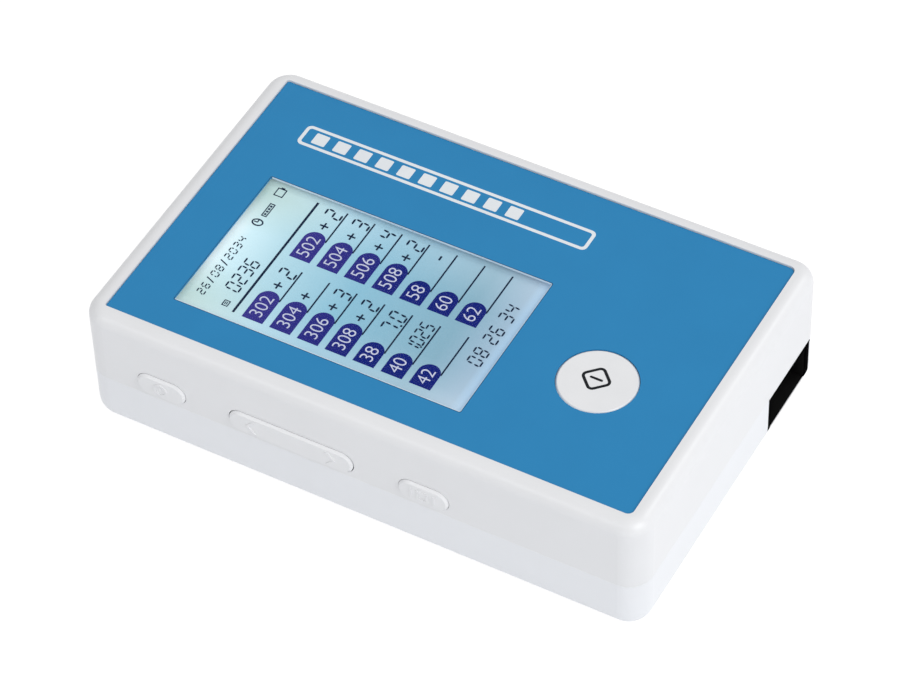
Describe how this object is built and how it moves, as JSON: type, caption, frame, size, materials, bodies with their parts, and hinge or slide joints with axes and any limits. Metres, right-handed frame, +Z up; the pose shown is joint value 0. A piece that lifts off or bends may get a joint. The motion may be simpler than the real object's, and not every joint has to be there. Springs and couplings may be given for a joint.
{
  "type": "urine analyzer",
  "caption": "Hand-held urine strip analyzer: flat two-part housing, display, start button, side keys and a motor-driven strip tray behind an end port.",
  "frame": {"origin": "on the surface that the rubber feet stand on, below the middle of the object's box", "axes": "+Z up out of the face with the display, +X along the length towards the strip port, -Y towards the side with the keys"},
  "size_m": [0.126, 0.0802, 0.0319],
  "materials": {
    "casing_white": "satin gloss moulded",
    "label_blue": "printed film, satin",
    "window_clear": "clear, polished",
    "display_glass": "reflective display glass",
    "light_guide": "milky, polished",
    "frame_black": "fine texture",
    "contact_rubber": "striped elastomer",
    "key_white": "satin gloss moulded",
    "switch_black": "moulded",
    "circuit_board": "green lacquer",
    "chip_black": "moulded",
    "shield_tin": "tinned can on a small card",
    "plug_ivory": "moulded",
    "socket_steel": "tinned",
    "cell_foil": "foil pouch",
    "foam_pad": "self-adhesive foam",
    "guide_black": "fine texture",
    "tile_white": "matt white",
    "gear_acetal": "smooth",
    "steel": "zinc plated",
    "pinion_brass": "turned",
    "motor_can": "plated can",
    "plate_zinc": "zinc plated sheet",
    "lens_glass": "polished",
    "lamp_clear": "clear epoxy",
    "ribbon_white": "smooth film",
    "foot_rubber": "matt"
  },
  "bodies": {
    "housing": {"upper_shell": "casing_white", "lower_shell": "casing_white", "panel_overlay": "label_blue", "display_window": "window_clear", "lcd_glass": "display_glass", "lcd_backlight": "light_guide", "lcd_frame": "frame_black", "lcd_contact_strips": "contact_rubber", "start_switch": "switch_black", "rocker_fulcrum": "frame_black", "key_switches": "switch_black", "main_board": "circuit_board", "board_chips": "chip_black", "radio_module": "shield_tin", "buzzer": "switch_black", "battery_connector": "plug_ivory", "usb_socket": "socket_steel", "battery_cell": "cell_foil", "battery_pad": "foam_pad", "tray_guide": "guide_black", "home_switch": "switch_black", "gear_axle": "steel", "axle_clip": "steel", "drive_motor": "motor_can", "drive_plate": "plate_zinc", "optical_head": "guide_black", "sensor_lens": "lens_glass", "colour_sensor": "chip_black", "sensor_board": "circuit_board", "illumination_leds": "lamp_clear", "sensor_ribbon": "ribbon_white", "ribbon_connector": "plug_ivory", "case_screws": "steel", "board_screws": "steel", "guide_screws": "steel", "plate_screws": "steel", "head_screws": "steel", "rubber_feet": "foot_rubber"},
    "strip_tray": {"strip_tray": "guide_black", "calibration_tile": "tile_white"},
    "drive_gear": {"drive_gear": "gear_acetal"},
    "motor_drive": {"motor_pinion": "pinion_brass", "motor_shaft": "steel"},
    "start_button": {"start_button": "key_white"},
    "left_key": {"left_key": "key_white"},
    "rocker_key": {"rocker_key": "key_white"},
    "right_key": {"right_key": "key_white"}
  },
  "joints": [
    {"name": "tray_slide", "type": "slide", "parent": "housing", "child": "strip_tray", "axis": [1, 0, 0], "range_m": [0, 0.07]},
    {"name": "gear_spin", "type": "hinge", "parent": "housing", "child": "drive_gear", "pos_m": [0.032, 0.01048, 0.006], "axis": [0, 0, 1], "range_deg": [-480, 5]},
    {"name": "pinion_spin", "type": "hinge", "parent": "housing", "child": "motor_drive", "pos_m": [0.02133, 0.00378, 0.006], "axis": [0, 0, 1], "range_deg": [-5, 960]},
    {"name": "start_press", "type": "slide", "parent": "housing", "child": "start_button", "axis": [0, 0, -1], "range_m": [0, 0.0006], "stiffness_N_per_m": 800},
    {"name": "left_press", "type": "slide", "parent": "housing", "child": "left_key", "axis": [0, 1, 0], "range_m": [0, 0.00045], "stiffness_N_per_m": 900},
    {"name": "right_press", "type": "slide", "parent": "housing", "child": "right_key", "axis": [0, 1, 0], "range_m": [0, 0.00045], "stiffness_N_per_m": 900},
    {"name": "rocker_tilt", "type": "hinge", "parent": "housing", "child": "rocker_key", "pos_m": [-0.0146, -0.036, 0.0178], "axis": [0, 0, 1], "range_deg": [-1.8, 1.8], "stiffness_Nm_per_rad": 0.05}
  ],
  "couplings": [
    {"joint": "gear_spin", "follows": "tray_slide", "rad_per_m": -119.05},
    {"joint": "pinion_spin", "follows": "tray_slide", "rad_per_m": 238.1}
  ]
}
